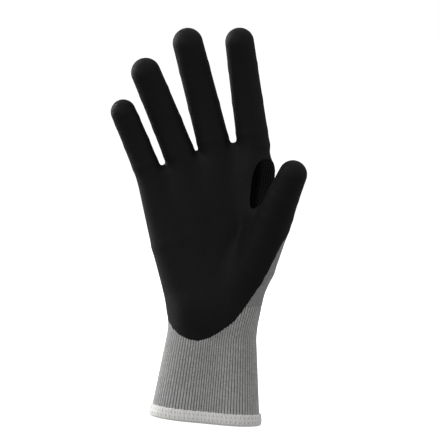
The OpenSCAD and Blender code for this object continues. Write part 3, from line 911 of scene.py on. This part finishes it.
def bend_piece(obj, digit, k):
    """Looks up the zones round a digit's bend k and bakes the piece's place into its mesh, without
    bending it.
    """
    before, after = digit.zones[k]
    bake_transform(obj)


def make_glove():
    """Every piece of the liner and the coat, cut from the one surface."""
    surface = Surface(*skin_of(glove, (-84, -62, 46), (58, 32, 264)))
    for height in (PALM_LOW, HEEL_TOP):
        surface.cut(surface.points[:, 2] - height)

    # where each digit's pieces begin, as fields that are positive past the cut
    cuts = []
    for i, digit in enumerate(DIGITS):
        lines = [(digit.root + digit.first_cut * digit.dirs[0], digit.dirs[0])]
        for k in range(1, len(digit.bends)):
            last, here = digit.zones[k - 1][1], digit.zones[k][0]
            gap = np.linalg.norm(digit.bends[k] - digit.bends[k - 1])
            lines.append((digit.bends[k - 1] + (last + gap - here) / 2 * digit.dirs[k - 1],
                          digit.dirs[k - 1]))
        for line in lines:
            cuts.append((i, line))

    def past(cut, p, owner):
        i, (at, line) = cut
        return np.where(owner == i, (p - at) @ line, -5.0)

    for cut in cuts:
        surface.cut(past(cut, surface.points, owners(surface.points)))
    surface.cut(dipped(surface.points, surface.normals, owners(surface.points)))
    surface.cut(in_patch(surface.points))

    p, tris = surface.points, surface.tris
    owner = owners(p)
    stage_of = np.zeros(len(tris), int)
    digit_of = np.full(len(tris), -1)
    for cut in cuts:
        on = surface.side(past(cut, p, owner))
        stage_of[on] += 1
        digit_of[on] = cut[0]
    depth_in = dipped(p, surface.normals, owner)
    coated = surface.side(depth_in)
    above = surface.side(p[:, 2] - PALM_LOW)
    heel = surface.side(HEEL_TOP - p[:, 2])
    patch_in = in_patch(p)
    patched = surface.side(patch_in) & coated
    thick = THIN_EDGE + (COAT - THIN_EDGE) * smooth(depth_in / EDGE_RISE)
    # the last field grows towards the thumb: it scales the crotch layer's painted stitch
    # highlights, leaving painted shade to the left
    extra = {"depth_in": depth_in, "ribbed": smooth((92 - p[:, 2]) / 26),
             "painted_light_share": smooth((p[:, 0] - 18) / 4)}

    def make(name, mask, outer, inner, stitch, period, slot, *nodes):
        obj = shell(name, surface, tris[mask], outer, inner, stitch, period, extra)
        dress(obj, slot)
        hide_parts(*nodes)
        return obj

    palm = digit_of < 0
    knit = make("palm_knit", palm & above, 0, -KNIT, palm_stitches, RIBS, "liner_knit",
                "palm_liner")
    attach(knit, "palm")
    coat = make("palm_dip", palm & coated & ~heel, thick, 0.02, palm_stitches, RIBS,
                "foam_nitrile", "palm_coating")
    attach(coat, "palm")
    coat = make("heel_dip", palm & coated & heel, thick, 0.02, palm_stitches, RIBS,
                "foam_nitrile", "palm_coating")
    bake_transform(coat)
    rise = COAT + 0.03 + (PATCH - 0.03) * smooth(patch_in / 1.2)
    patch = make("thumb_crotch_layer", palm & patched, rise, COAT * 0.9, palm_stitches, RIBS,
                 "crotch_nitrile", "thumb_crotch_patch")
    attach(patch, "palm")
    for i, digit in enumerate(DIGITS):
        def stitch(q, digit=digit):
            return digit_stitches(q, digit)

        for k, part in enumerate(digit.parts):
            mine = (digit_of == i) & (stage_of == k + 1)
            node = f"{digit.name}_{part}"
            knit = make(f"{node}_knit", mine, 0, -KNIT, stitch, digit.wales, "liner_knit",
                        f"{node}_stall", f"{node}_knuckle")
            bend_piece(knit, digit, k)
            coat = make(f"{node}_dip", mine & coated, thick, 0.02, stitch, digit.wales,
                        "foam_nitrile", f"{node}_coating")
            bend_piece(coat, digit, k)


make_glove()
cuff = dress(make_cuff(), "grey_rib_knit")
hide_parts("cuff_rib", "wrist_knit")
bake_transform(cuff)
hem = dress(make_hem(), "white_overlock")
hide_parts("hem_overlock")
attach(hem, "cuff")
elastic = dress(make_elastic(), "elastic_yarn")
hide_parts("cuff_elastic")
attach(elastic, "cuff")


# ---------------------------------------------------------------- studio
def aim(location, target):
    """The turn that points a light at a target."""
    back = (Vector(location) - Vector(target)).normalized()
    return back.to_track_quat("Z", "Y").to_matrix().to_4x4()


def area_light(name, location, target, size, energy):
    data = bpy.data.lights.new(name, "AREA")
    data.shape, data.size, data.energy = "DISK", size, energy
    obj = bpy.data.objects.new(name, data)
    obj.matrix_world = Matrix.Translation(location) @ aim(location, target)
    bpy.context.scene.collection.objects.link(obj)
    return obj


MIDDLE = Vector((-0.0027, -0.005, 0.1299))  # what the camera looks at, in metres
DISTANCE = 2.5  # from there to the camera
SHOWN = 0.2829  # width of what the picture shows there
area_light("rim_left", (-1.1, 0.75, 0.45), MIDDLE, 0.9, 20)
area_light("key_left", (-1.3, -1.1, 1.1), MIDDLE, 1.0, 19)
area_light("fill_right", (1.5, -0.6, 0.7), MIDDLE, 1.2, 7)
area_light("top", (0.1, 0.5, 1.8), MIDDLE, 1.2, 7)

world = bpy.data.worlds.new("studio")
bpy.context.scene.world = world
world.use_nodes = True
nodes, links = world.node_tree.nodes, world.node_tree.links
background = nodes["Background"]
background.inputs["Color"].default_value = (1, 1, 1, 1)
path = nodes.new("ShaderNodeLightPath")
strength = nodes.new("ShaderNodeMix")
strength.inputs[2].default_value = 0.35
strength.inputs[3].default_value = 1.0
links.new(path.outputs["Is Camera Ray"], strength.inputs[0])
links.new(strength.outputs[0], background.inputs["Strength"])

bpy.ops.mesh.primitive_circle_add(vertices=96, radius=60, fill_type="NGON",
                                  location=(0, 0, -0.0004))
floor = bpy.context.object
floor.name = "floor"
s = Shader("pale_floor")
mottle = s.noise(8.0, 3.0, at=s.node("ShaderNodeTexCoord", output=3))
s.finish(s.grey(s.scaled(mottle, 0.87, 0.9)), s.scaled(mottle, 0.8, 0.95),
         s.bump(mottle, 0.00002), specular_ior_level=0.2, emission_strength=0.78)
s.bsdf.inputs["Emission Color"].default_value = (1, 1, 1, 1)
floor.data.materials.append(s.material)
floor.visible_diffuse = floor.visible_glossy = False

# a long lens, a little above the hand's height, rolled as the glove leans in its picture
roll, drop = math.radians(5.5), math.radians(3.0)
right = Vector((math.cos(roll), 0, math.sin(roll)))
upright = Vector((-math.sin(roll), 0, math.cos(roll)))
forward = Vector((0, math.cos(drop), 0)) - upright * math.sin(drop)
camera_data = bpy.data.cameras.new("camera")
camera = bpy.data.objects.new("camera", camera_data)
bpy.context.scene.collection.objects.link(camera)
camera_data.sensor_width = 36
camera_data.lens = camera_data.sensor_width * DISTANCE / SHOWN
camera_data.clip_start, camera_data.clip_end = 0.1, 200
up = right.cross(forward)
turn = Matrix((right, up, -forward)).transposed().to_4x4()
camera.matrix_world = Matrix.Translation(MIDDLE - forward * DISTANCE) @ turn
bpy.context.scene.camera = camera
bpy.context.scene.view_settings.view_transform = "Standard"
